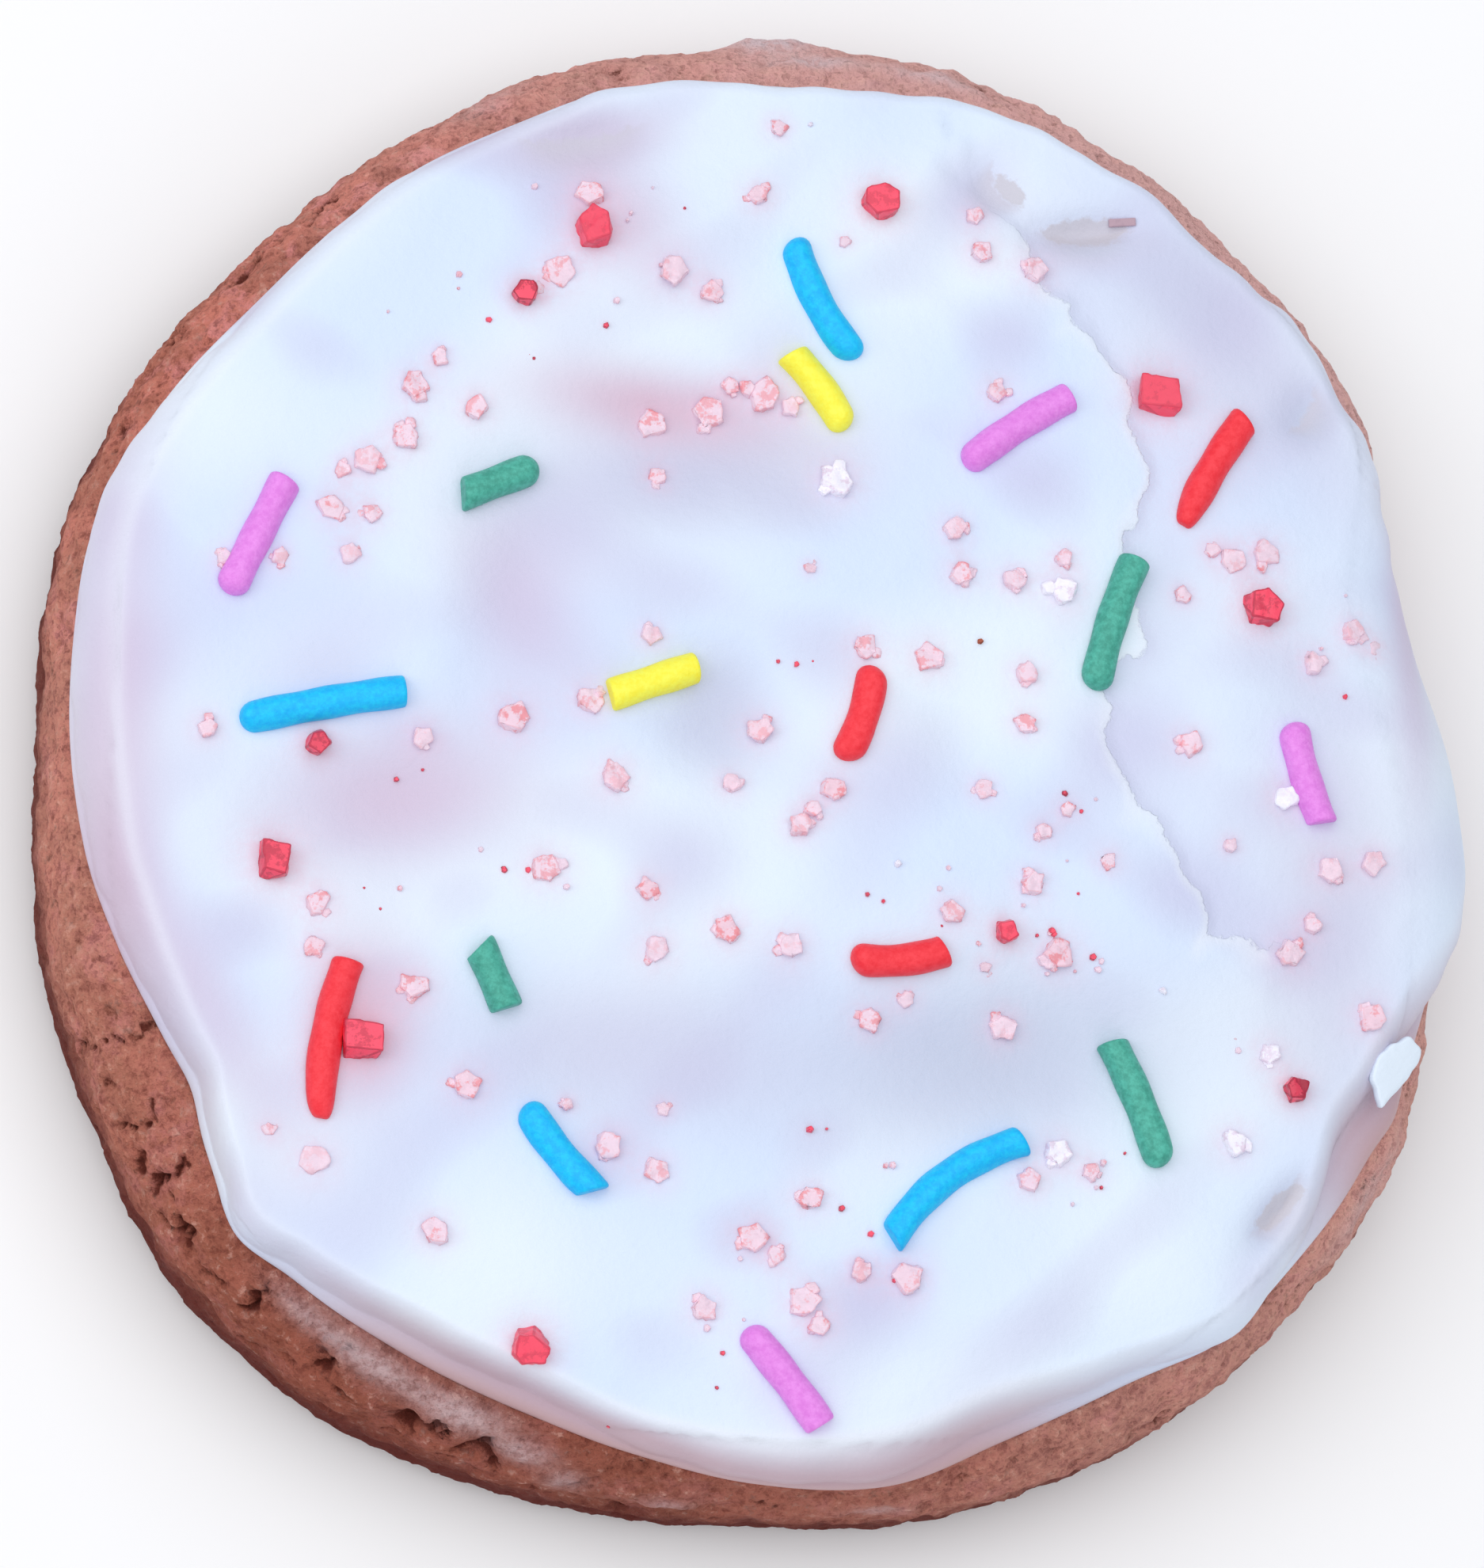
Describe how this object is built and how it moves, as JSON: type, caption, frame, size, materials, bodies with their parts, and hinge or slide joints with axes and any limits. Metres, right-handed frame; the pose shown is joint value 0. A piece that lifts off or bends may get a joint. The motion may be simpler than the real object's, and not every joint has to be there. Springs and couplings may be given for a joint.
{
  "type": "iced cookie",
  "caption": "Round baked cookie under a thick soft layer of pale icing, set with coloured sprinkle rods, angular candy chips and sugar crystals.",
  "frame": {"origin": "middle of the overall box, on the flat underside", "axes": "+Z up out of the icing; +X to the right and +Y up in the picture, seen from above"},
  "size_m": [0.0734, 0.078, 0.0148],
  "materials": {
    "crust": "dry baked crumb, rough",
    "icing": "soft satin sugar icing"
  },
  "bodies": {
    "root": {"cookie_base": "crust", "icing": "icing"}
  },
  "joints": []
}
